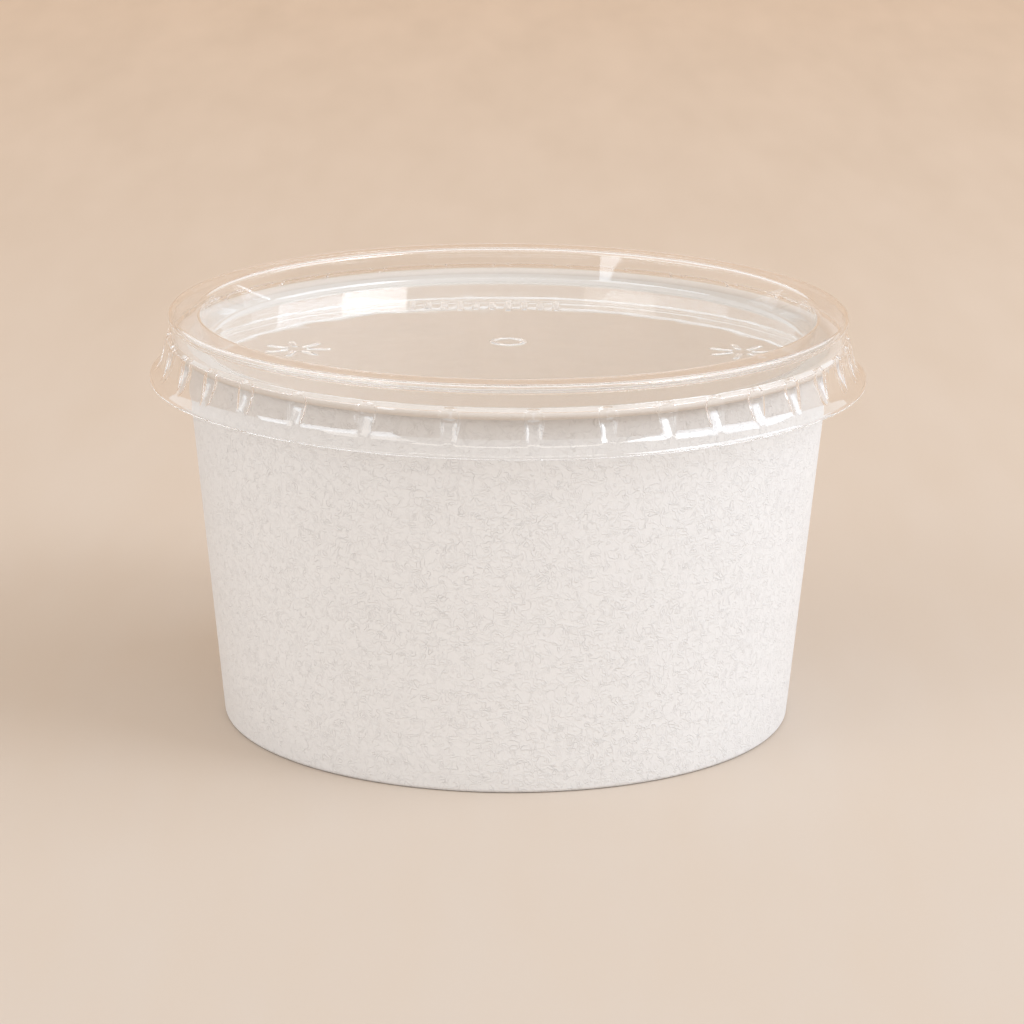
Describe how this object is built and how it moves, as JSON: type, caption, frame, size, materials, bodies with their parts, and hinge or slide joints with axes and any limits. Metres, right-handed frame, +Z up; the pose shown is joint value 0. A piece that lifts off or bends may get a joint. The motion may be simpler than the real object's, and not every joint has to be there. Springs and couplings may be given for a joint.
{
  "type": "paper ice cream cup",
  "caption": "Squat tapered white paperboard tub with a rolled rim and recessed bottom, closed by a clear lid with a recessed centre and a ribbed skirt.",
  "frame": {"origin": "centre of the foot, on the surface the tub stands on", "axes": "+Z up along the tub's axis, -Y towards the front of the picture's view, +X to its right; the side seam is at +Y"},
  "size_m": [0.1228, 0.1228, 0.0707],
  "materials": {
    "paperboard": "matte white board with a fine fibrous grain",
    "bottom_board": "matte white board",
    "clear_plastic": "clear, thin and glossy"
  },
  "bodies": {
    "root": {"cup_wall": "paperboard", "cup_bottom": "bottom_board", "lid": "clear_plastic"}
  },
  "joints": []
}
